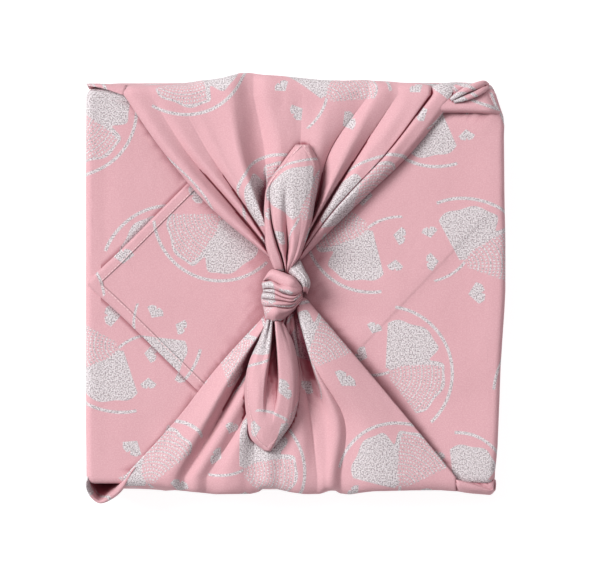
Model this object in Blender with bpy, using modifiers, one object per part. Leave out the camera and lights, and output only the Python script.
"""Furoshiki wrap: one square cloth folded over a flat parcel and knotted on top.

The left corner of the cloth is folded over first and the right corner over it.  The far and the near
corner are then gathered into folds and tied, and their tips are left as two short tails.

The cloth is one sheet.  It is laid out as columns, which start under the parcel, climb a wall, turn
over the rim and cross the top, and as rows, which run once round the parcel.  At each corner of the
parcel the sheet makes a Z-pleat under the edge of a gather.
"""

import math

import bpy
import numpy as np

MM = 0.001

# Parcel, all in millimetres
HALF_WIDTH = 142.5
HALF_DEPTH = 136.0
HEIGHT = 58.0
CORNER_RADIUS = 9.0
BASE_RADIUS = 2.5
RIM_RADIUS = 4.0
BASE_INSET = 6.0
RIGHT_BULGE = 2.0
LEFT_BULGE = 1.0

# Cloth
THICKNESS = 1.0
LAYER = 1.8
PLEAT_DEPTH_AT_RIM = 28.0
PLEAT_DEPTH_AT_KNOT = 8.0
TURN = 2.5
EDGE_AT_BASE = 10.0
TURN_AT_BASE = 5.0
FLAP_GATHERED_AT_BASE = 0.065
PLEAT_OPENS_AT = 3.0

# Stand-off of the pleat's parts from the wall, in layers
GATHER_LAYERS = 2.3
EDGE_LAYERS = 1.6
RETURN_LAYERS = (0.92, 1.08)
TURN_LAYERS = 0.5
RETURN_RISE = 0.4

# How a Z-pleat's return starts, in turns from the gather's edge, and how full the cloth is halfway
# between a valley and a ridge, as a share of the ridge's height
RETURN_STARTS_AT = 1.5
FULLNESS = 0.62

# How far the flaps stand out at the rim beside each corner, clockwise from the far left
CORNER_OUT = {"far_left": 2.5, "far_right": 3.0, "near_right": 4.5, "near_left": 2.5}
CORNER_OUT_SHARE = 0.7

# Grid
WALL_HEIGHTS = (12.0, 32.0)
WALL_ENDS = 7
FLAP_MIDDLE_COLUMNS = 8
TOP_ROWS = 12
JOINED_ROWS = 4

# Knot and ends of the gathers
FAR_KNOT_Y = 14.0
NEAR_KNOT_Y = -14.0

WIDTH = 2.0 * HALF_WIDTH
DEPTH = 2.0 * HALF_DEPTH
PERIMETER = 2.0 * (WIDTH + DEPTH)
BASE_LEVEL = THICKNESS / 2.0
UNDER_LEVEL = HEIGHT
OVER_LEVEL = UNDER_LEVEL + LAYER
RETURN_LEVEL = OVER_LEVEL + LAYER

# One row for each fold line of a gather, from left to right: where it crosses the rim, one third of
# the way, two thirds of the way and the knot (x), its height over the right flap at those four
# places (z), and how far the fold stands out past the wall at the rim (out).
FOLD_COLUMNS = ("name", "x_rim", "x_third", "x_two_thirds", "x_knot",
                "z_rim", "z_third", "z_two_thirds", "z_knot", "out")
FAR_FOLDS = (
    ("left_edge", -116, -91, -58, -20, 2.7, 4.6, 6.0, 8.0, 0.0),
    ("edge_roll", -111, -86, -52, -18, 4.5, 6.0, 8.5, 14.0, 0.0),
    ("valley_a", -105, -81, -46, -16.5, 3.5, 4.9, 6.4, 9.0, -0.5),
    ("ridge_ab", -94, -73, -40, -14.5, 5.0, 7.5, 11.0, 15.0, -0.5),
    ("valley_b", -84, -66, -34, -13, 4.5, 5.0, 6.0, 10.0, 0.5),
    ("ridge_bc", -62, -50, -28, -11, 6.0, 9.0, 12.0, 16.0, 3.0),
    ("valley_c", -39, -33, -21, -9.5, 4.0, 3.5, 6.0, 10.0, 5.0),
    ("ridge_d", -23, -20, -14, -7.5, 5.5, 8.0, 11.0, 14.0, 5.0),
    ("valley_under_tail", 5, 0, -6, -6, 4.5, 5.0, 7.0, 9.0, 3.0),
    ("ridge_e", 33, 17, 3, -4, 5.5, 7.5, 11.0, 14.0, 1.5),
    ("valley_e", 55, 28, 9, -2.5, 4.0, 5.0, 7.0, 10.0, 0.5),
    ("ridge_f", 62, 39, 15, -0.5, 5.0, 8.0, 12.0, 15.0, 0.5),
    ("valley_g", 77, 49, 20, 1, 3.5, 4.0, 5.0, 9.0, 0.0),
    ("ridge_h", 91, 60, 25, 3, 4.5, 7.0, 11.0, 15.0, 0.0),
    ("band_crease", 101, 67, 30, 4.5, 3.5, 4.9, 6.6, 10.0, -0.5),
    ("band_ridge", 108, 76, 35, 6, 5.0, 7.0, 9.0, 14.0, 0.0),
    ("right_edge", 115, 83, 40, 8, 2.7, 4.6, 6.0, 8.0, 0.0),
)
NEAR_FOLDS = (
    ("left_edge", -127, -84, -51, -20, 2.7, 4.6, 6.0, 7.0, 5.0),
    ("left_lobe", -112, -72, -42, -17.5, 5.5, 7.5, 10.0, 14.0, 4.0),
    ("valley_1", -86, -60, -32, -15.5, 4.0, 3.5, 5.0, 9.0, 0.0),
    ("ridge_12", -77, -50, -27, -13, 5.5, 7.0, 11.0, 14.0, 0.5),
    ("valley_2", -69, -41, -22, -11, 4.5, 5.0, 7.0, 9.0, 1.0),
    ("ridge_23", -50, -34, -18, -8.5, 6.0, 7.0, 10.0, 13.0, 2.5),
    ("valley_3", -28, -26, -14, -6.5, 4.5, 4.5, 6.0, 9.0, 2.0),
    ("ridge_34", -17, -16, -9, -4, 5.5, 6.5, 10.0, 13.0, -0.5),
    ("valley_mid", -6, -6, -4, -2, 4.5, 5.0, 7.0, 9.0, 1.0),
    ("ridge_mid", 8, 5, 0, 0.5, 5.5, 7.0, 10.0, 13.0, 3.0),
    ("valley_5", 17, 13, 4, 2.5, 5.0, 5.5, 5.0, 8.0, 2.0),
    ("ridge_5", 23, 22, 8, 5, 6.0, 7.0, 7.0, 11.0, 1.0),
    ("valley_4", 30, 31, 12, 7, 3.5, 4.0, 5.0, 9.0, 0.5),
    ("tent_ridge", 42, 37, 17, 9, 5.5, 9.0, 15.0, 16.0, 2.0),
    ("soft_sag", 80, 60, 31, 10.5, 4.5, 6.0, 9.0, 13.0, 0.0),
    ("right_roll", 109, 77, 42, 12, 5.0, 6.0, 8.5, 13.0, 0.5),
    ("right_edge", 114, 81, 46, 13.5, 2.7, 4.6, 6.0, 8.0, 1.0),
)

# Free hems of the two flaps (x, y): where the hidden far hem ends, the tip, and where the hidden
# near hem ends.  The hidden hems run straight from the pleats to these places.
UNDER_HEM = ((80.0, 72.0), (136.0, 52.0), (48.0, -41.0))
OVER_HEM = ((-78.0, 66.0), (-141.0, 2.0), (-68.0, -69.0))

# One row for each cross-section of a tail: its place along Y, its two edges (x), the height of the
# edges over the right flap, and the height of the crown over the edges.
TAIL_COLUMNS = ("y", "x_left", "x_right", "z_edge", "crown")
FAR_TAIL = (
    (8, -12, 0, 18.0, 4.0),
    (20, -17, 4, 17.0, 8.0),
    (40, -20, 10, 15.0, 10.0),
    (60, -21, 14, 13.5, 10.0),
    (80, -11, 16, 11.5, 8.0),
    (92, -3, 13, 11.0, 5.0),
    (98, 3, 6, 11.0, 2.0),
)
NEAR_TAIL = (
    (-12, -12, -6, 17.0, 4.0),
    (-25, -17, -8, 16.0, 7.0),
    (-40, -26, -1, 14.0, 9.0),
    (-57, -32, 2, 13.0, 10.0),
    (-76, -35, 3, 11.5, 9.0),
    (-92, -34, -2, 10.5, 7.0),
    (-104, -30, -9, 10.0, 5.0),
    (-112, -24, -16, 10.0, 2.0),
)
TAIL_SAMPLES = 12
TAIL_ROUNDNESS = 0.7

# One row for each lump of the knot: centre, half sizes and turn about Z in degrees
LUMP_COLUMNS = ("name", "x", "y", "z", "half_x", "half_y", "half_z", "turn")
KNOT_LUMPS = (
    ("core", -7, -1, 14.0, 15.5, 19.0, 10.5, 8),
    ("front_band", -8, 1, 18.0, 15.0, 9.5, 10.0, -6),
    ("right_lobe", 2, 9, 14.5, 9.5, 13.5, 9.0, -35),
    ("lower_lobe", -10, -12, 15.0, 11.0, 11.0, 9.0, 20),
)

LUMP_SEGMENTS = 20
LUMP_RINGS = 12

CLOTH_COLOUR = (0.72, 0.42, 0.46, 1.0)


def named(columns, row):
    """One row of a table, as a dictionary keyed by the table's column names."""
    return dict(zip(columns, row))


def ease(value):
    """Smooth step from 0 to 1."""
    value = min(max(value, 0.0), 1.0)
    return value * value * (3.0 - 2.0 * value)


def along(stations, fraction):
    """Smooth curve through equally spaced stations (Catmull-Rom)."""
    stations = np.asarray(stations, dtype=float)
    position = fraction * (len(stations) - 1)
    index = min(int(position), len(stations) - 2)
    t = position - index
    before = stations[index - 1] if index > 0 else 2 * stations[0] - stations[1]
    start, end = stations[index], stations[index + 1]
    last = index + 2 >= len(stations)
    after = 2 * end - start if last else stations[index + 2]
    slope_start = (end - before) / 2
    slope_end = (after - start) / 2
    return ((2 * t**3 - 3 * t**2 + 1) * start + (t**3 - 2 * t**2 + t) * slope_start
            + (3 * t**2 - 2 * t**3) * end + (t**3 - t**2) * slope_end)


def on_outline(place, offset):
    """Point of the parcel's rounded outline, moved outwards by offset.

    place runs clockwise, seen from above, from the far left corner as if corners were sharp.
    """
    place = place % PERIMETER
    corners = (
        (0.0, -HALF_WIDTH, HALF_DEPTH, 135.0),
        (WIDTH, HALF_WIDTH, HALF_DEPTH, 45.0),
        (WIDTH + DEPTH, HALF_WIDTH, -HALF_DEPTH, -45.0),
        (2 * WIDTH + DEPTH, -HALF_WIDTH, -HALF_DEPTH, -135.0),
        (PERIMETER, -HALF_WIDTH, HALF_DEPTH, 135.0),
    )
    for at, x, y, heading in corners:
        distance = place - at
        if abs(distance) < CORNER_RADIUS:
            angle = math.radians(heading - 45.0 * distance / CORNER_RADIUS)
            centre_x = math.copysign(HALF_WIDTH - CORNER_RADIUS, x)
            centre_y = math.copysign(HALF_DEPTH - CORNER_RADIUS, y)
            radius = CORNER_RADIUS + offset
            return centre_x + radius * math.cos(angle), centre_y + radius * math.sin(angle)
    if place < WIDTH:
        return place - HALF_WIDTH, HALF_DEPTH + offset
    if place < WIDTH + DEPTH:
        swell = RIGHT_BULGE * math.sin(math.pi * (place - WIDTH) / DEPTH)
        return HALF_WIDTH + offset + swell, HALF_DEPTH - (place - WIDTH)
    if place < 2 * WIDTH + DEPTH:
        return HALF_WIDTH - (place - WIDTH - DEPTH), -HALF_DEPTH - offset
    swell = LEFT_BULGE * math.sin(math.pi * (place - 2 * WIDTH - DEPTH) / DEPTH)
    return -HALF_WIDTH - offset - swell, (place - 2 * WIDTH - DEPTH) - HALF_DEPTH


def wall_points(place_at, offset, level, out=0.0):
    """Points of one column from under the parcel up to the start of the top.

    place_at gives the column's place on the outline for a share of the wall's height.
    """
    radius = RIM_RADIUS + offset
    rim_start = level - radius
    points = []

    def add(height, place, inset):
        x, y = on_outline(place, -inset)
        points.append((x, y, height))

    corner = 1.0 - math.sqrt(0.5)
    foot = BASE_LEVEL + BASE_RADIUS * corner
    add(BASE_LEVEL, place_at(0.0), BASE_INSET)
    add(BASE_LEVEL, place_at(0.0), BASE_RADIUS)
    add(foot, place_at(0.0), BASE_RADIUS * corner - offset * ease(foot / PLEAT_OPENS_AT))
    for height in (BASE_LEVEL + BASE_RADIUS,) + WALL_HEIGHTS + (rim_start,):
        share = height / rim_start
        stand_off = offset * ease(height / PLEAT_OPENS_AT) + out * ease(share)
        add(height, place_at(share), -stand_off)
    add(level - radius * corner, place_at(1.0), radius * corner - offset - out)
    add(level, place_at(1.0), RIM_RADIUS)
    return points


def straight(place_base, place_rim):
    """Places of a column that climbs the wall in a straight line."""
    return lambda share: place_base + (place_rim - place_base) * share


def gather_columns(folds, side):
    """Columns of a gather: one on each fold line and one between two fold lines."""
    rows = [named(FOLD_COLUMNS, row) for row in folds]
    knot_y = FAR_KNOT_Y if side > 0 else NEAR_KNOT_Y
    start_y = side * (HALF_DEPTH - RIM_RADIUS)
    columns = []
    for step in range(2 * len(rows) - 1):
        first, second = rows[step // 2], rows[(step + 1) // 2]
        x = [(first[key] + second[key]) / 2 for key in FOLD_COLUMNS[1:5]]
        low = [min(first[key], second[key]) for key in FOLD_COLUMNS[5:9]]
        high = [max(first[key], second[key]) for key in FOLD_COLUMNS[5:9]]
        z = [OVER_LEVEL + a + FULLNESS * (b - a) if step % 2 else OVER_LEVEL + first[key]
             for a, b, key in zip(low, high, FOLD_COLUMNS[5:9])]
        out = (first["out"] + second["out"]) / 2
        rim = x[0] + HALF_WIDTH
        base = np.interp(x[0], (rows[0]["x_rim"], rows[-1]["x_rim"]),
                         (EDGE_AT_BASE, WIDTH - EDGE_AT_BASE))
        layers = GATHER_LAYERS if 0 < step < 2 * len(rows) - 2 else EDGE_LAYERS
        if side < 0:
            rim = WIDTH + DEPTH + (WIDTH - rim)
            base = WIDTH + DEPTH + (WIDTH - base)
        points = wall_points(straight(base, rim), layers * LAYER, z[0], out)
        points[-1] = (x[0], start_y, z[0])
        for row in range(1, TOP_ROWS + 1):
            fraction = row / TOP_ROWS
            y = start_y + (knot_y - start_y) * fraction
            points.append((along(x, fraction), y, along(z, fraction)))
        columns.append(points)
    return columns if side > 0 else columns[::-1]


def pleat_in(edge):
    """Distance from the parcel's corner to where a gather's edge crosses the rim."""
    return HALF_WIDTH - abs(edge[wall_count() - 1][0])


def pleat_depth(row):
    """Width of the Z-pleat on a row of the top."""
    fraction = row / TOP_ROWS
    return PLEAT_DEPTH_AT_RIM + (PLEAT_DEPTH_AT_KNOT - PLEAT_DEPTH_AT_RIM) * fraction


def pleat_columns(edge, towards_middle, corner_place, turn_level):
    """Three columns of a Z-pleat, from the hidden turn (first) back to the gather's edge.

    edge is the gather's edge column, towards_middle is +1 or -1 along X, corner_place is the
    outline place of the parcel's corner, and turn_level is the height of the hidden turn.
    """
    step = towards_middle if edge[-1][1] > 0 else -towards_middle

    def fold_places(depth):
        """Distances of the turn and of the two ends of the return from the gather's edge."""
        third = depth / 3.0
        return depth, depth - min(third, TURN), min(third, RETURN_STARTS_AT * TURN)

    def wall_place(part):
        def place_at(share):
            fold = EDGE_AT_BASE + (pleat_in(edge) - EDGE_AT_BASE) * share
            turn = TURN_AT_BASE + (pleat_in(edge) + PLEAT_DEPTH_AT_RIM - TURN_AT_BASE) * share
            return corner_place + step * (fold + fold_places(turn - fold)[part])
        return place_at

    columns = []
    layers = (TURN_LAYERS,) + RETURN_LAYERS
    levels = (turn_level, RETURN_LEVEL, RETURN_LEVEL)
    for part in range(3):
        points = wall_points(wall_place(part), layers[part] * LAYER, levels[part])[:-1]
        for row, (x, y, _) in enumerate(edge[wall_count() - 1:]):
            shift = fold_places(pleat_depth(row))[part]
            rise = RETURN_RISE * row if part or row > JOINED_ROWS else RETURN_RISE * row / 2
            height = (RETURN_LEVEL if row > JOINED_ROWS else levels[part]) + rise
            points.append((x + towards_middle * shift, y, height))
        columns.append(points)
    return columns


def wall_count():
    """Number of points of a column from the base to the start of the top."""
    return WALL_ENDS + len(WALL_HEIGHTS)


def flap_columns(rims, bases, level, turns, hem, corner_outs):
    """Columns of a flap between two pleats.

    Each column runs straight from the rim to the flap's waist, which spans the last joined points
    of its two pleats, and straight on to the free hem.  turns holds the hidden turn columns at the
    flap's first and last border, hem its first hem end, tip and last hem end, and corner_outs
    how far it stands out beside its first and its last corner.
    """
    first_top = wall_count() - 1
    waist_row = JOINED_ROWS + 1
    borders = []
    for turn in turns:
        away = math.copysign(TURN, turn[first_top][0] - turn[first_top + 1][0])
        borders.append([np.array((x + away, y)) for x, y, _ in
                        turn[first_top:first_top + waist_row + 1]])
    hem = np.array(hem)
    outs = dict(zip((2, 3, -4, -3), (corner_outs[0], CORNER_OUT_SHARE * corner_outs[0],
                                     CORNER_OUT_SHARE * corner_outs[1], corner_outs[1])))
    columns = []
    for index, (rim, base) in enumerate(zip(rims, bases)):
        u = index / (len(rims) - 1)
        start = np.array(on_outline(rim, -RIM_RADIUS))
        waist = borders[0][-1] + (borders[1][-1] - borders[0][-1]) * u
        end = np.array([np.interp(2 * u, (0, 1, 2), hem[:, axis]) for axis in (0, 1)])
        spots = [start + (waist - start) * row / waist_row for row in range(waist_row)]
        if u in (0.0, 1.0):
            spots = borders[int(u)][:waist_row]
        rest = TOP_ROWS - waist_row
        spots += [waist + (end - waist) * row / rest for row in range(rest + 1)]
        out = outs.get(index, outs.get(index - len(rims), 0.0))
        points = wall_points(straight(base, rim), 0.0, level, out)[:-1]
        columns.append(points + [(x, y, level) for x, y in spots])
    return columns


def flap_places(first_corner, last_corner, edges):
    """Outline places of a flap's columns at the rim and at the base.

    edges holds the gather edges that the flap's two pleats lead to.
    """
    def round_corner(edge):
        inner = pleat_in(edge)
        return inner + PLEAT_DEPTH_AT_RIM - TURN, inner, CORNER_RADIUS

    middle = np.linspace(first_corner + CORNER_RADIUS, last_corner - CORNER_RADIUS,
                         FLAP_MIDDLE_COLUMNS)
    rims = [first_corner - d for d in round_corner(edges[0])] + [first_corner]
    rims += list(middle) + [last_corner]
    rims += [last_corner + d for d in round_corner(edges[1])[::-1]]
    bases = []
    for place in rims:
        if place < first_corner:
            bases.append(first_corner + FLAP_GATHERED_AT_BASE * (place - first_corner))
        elif place > last_corner:
            bases.append(last_corner + FLAP_GATHERED_AT_BASE * (place - last_corner))
        else:
            bases.append(place)
    return rims, bases


def cloth_grid():
    """All columns of the sheet in clockwise order, and the strips that are open past a row."""
    far = gather_columns(FAR_FOLDS, 1)
    near = gather_columns(NEAR_FOLDS, -1)
    low_turn, high_turn = UNDER_LEVEL + LAYER, OVER_LEVEL + LAYER / 2
    far_left = pleat_columns(far[0], 1, 0.0, low_turn)
    far_right = pleat_columns(far[-1], -1, WIDTH, high_turn)
    near_right = pleat_columns(near[0], -1, WIDTH + DEPTH, high_turn)
    near_left = pleat_columns(near[-1], 1, 2 * WIDTH + DEPTH, low_turn)
    rims, bases = flap_places(2 * WIDTH + DEPTH, PERIMETER, (near[-1], far[0]))
    under = flap_columns(rims, bases, UNDER_LEVEL, (near_left[0], far_left[0]), UNDER_HEM[::-1],
                         (CORNER_OUT["near_left"], CORNER_OUT["far_left"]))
    rims, bases = flap_places(WIDTH, WIDTH + DEPTH, (far[-1], near[0]))
    over = flap_columns(rims, bases, OVER_LEVEL, (far_right[0], near_right[0]), OVER_HEM,
                        (CORNER_OUT["far_right"], CORNER_OUT["near_right"]))
    groups = (under, far_left, far, far_right[::-1], over, near_right, near, near_left[::-1])
    columns = [column for group in groups for column in group]
    ends = np.cumsum([len(group) for group in groups])
    slits = {ends[0] - 1, ends[3] - 1, ends[4] - 1, ends[7] - 1}
    return columns, slits


def mesh_object(name, vertices, faces, collection):
    """New mesh object from points in millimetres."""
    mesh = bpy.data.meshes.new(name)
    mesh.from_pydata([tuple(c * MM for c in v) for v in vertices], [], faces)
    mesh.update()
    thing = bpy.data.objects.new(name, mesh)
    collection.objects.link(thing)
    return thing


def add_solidify(thing):
    """Give an open sheet its thickness, half on each side."""
    solid = thing.modifiers.new("thickness", "SOLIDIFY")
    solid.thickness = THICKNESS * MM
    solid.offset = 0.0


def make_sheet(collection):
    """The folded sheet: base, walls, two flaps, two gathers and four pleats."""
    columns, slits = cloth_grid()
    rows = len(columns[0])
    vertices = [point for column in columns for point in column]
    faces = []
    last_joined = wall_count() - 1 + JOINED_ROWS
    for index in range(len(columns)):
        following = (index + 1) % len(columns)
        limit = last_joined if index in slits else rows - 1
        for row in range(limit):
            faces.append((index * rows + row, index * rows + row + 1,
                          following * rows + row + 1, following * rows + row))
    faces.append([index * rows for index in range(len(columns))])
    sheet = mesh_object("furoshiki_cloth", vertices, faces, collection)
    add_solidify(sheet)
    return sheet


def make_tail(name, table, collection):
    """A free end of the cloth: an arched leaf that narrows to the hemmed corner."""
    rows = [named(TAIL_COLUMNS, row) for row in table]
    vertices, faces = [], []
    for row in rows:
        for sample in range(TAIL_SAMPLES + 1):
            u = sample / TAIL_SAMPLES
            x = row["x_left"] + (row["x_right"] - row["x_left"]) * u
            rise = row["crown"] * math.sin(math.pi * u) ** TAIL_ROUNDNESS
            vertices.append((x, row["y"], OVER_LEVEL + row["z_edge"] + rise))
    width = TAIL_SAMPLES + 1
    for line in range(len(rows) - 1):
        for sample in range(TAIL_SAMPLES):
            corner = line * width + sample
            faces.append((corner, corner + 1, corner + width + 1, corner + width))
    tail = mesh_object(name, vertices, faces, collection)
    add_solidify(tail)
    return tail


def make_lump(row, collection):
    """One rounded turn of the knot."""
    lump = named(LUMP_COLUMNS, row)
    bpy.ops.mesh.primitive_uv_sphere_add(segments=LUMP_SEGMENTS, ring_count=LUMP_RINGS, radius=1.0)
    thing = bpy.context.active_object
    thing.name = "knot_" + lump["name"]
    thing.scale = [lump[key] * MM for key in ("half_x", "half_y", "half_z")]
    thing.rotation_euler[2] = math.radians(lump["turn"])
    thing.location = (lump["x"] * MM, lump["y"] * MM, (OVER_LEVEL + lump["z"]) * MM)
    for owner in list(thing.users_collection):
        owner.objects.unlink(thing)
    collection.objects.link(thing)
    return thing


def cloth_material():
    """Plain pink cotton."""
    material = bpy.data.materials.new("pink_cotton")
    material.use_nodes = True
    shader = material.node_tree.nodes["Principled BSDF"]
    shader.inputs["Base Color"].default_value = CLOTH_COLOUR
    shader.inputs["Roughness"].default_value = 0.85
    shader.inputs["Metallic"].default_value = 0.0
    return material


def main():
    """Build the wrap as one solid."""
    for thing in list(bpy.data.objects):
        bpy.data.objects.remove(thing)
    parts = bpy.data.collections.new("furoshiki_wrap")
    helpers = bpy.data.collections.new("cutters")
    for collection in (parts, helpers):
        bpy.context.scene.collection.children.link(collection)
    sheet = make_sheet(parts)
    sheet.data.materials.append(cloth_material())
    joined = [make_tail("far_tail", FAR_TAIL, helpers), make_tail("near_tail", NEAR_TAIL, helpers)]
    joined += [make_lump(row, helpers) for row in KNOT_LUMPS]
    for thing in joined:
        thing.hide_render = True
        thing.display_type = "WIRE"
        union = sheet.modifiers.new("join_" + thing.name, "BOOLEAN")
        union.operation = "UNION"
        union.solver = "EXACT"
        union.object = thing


main()
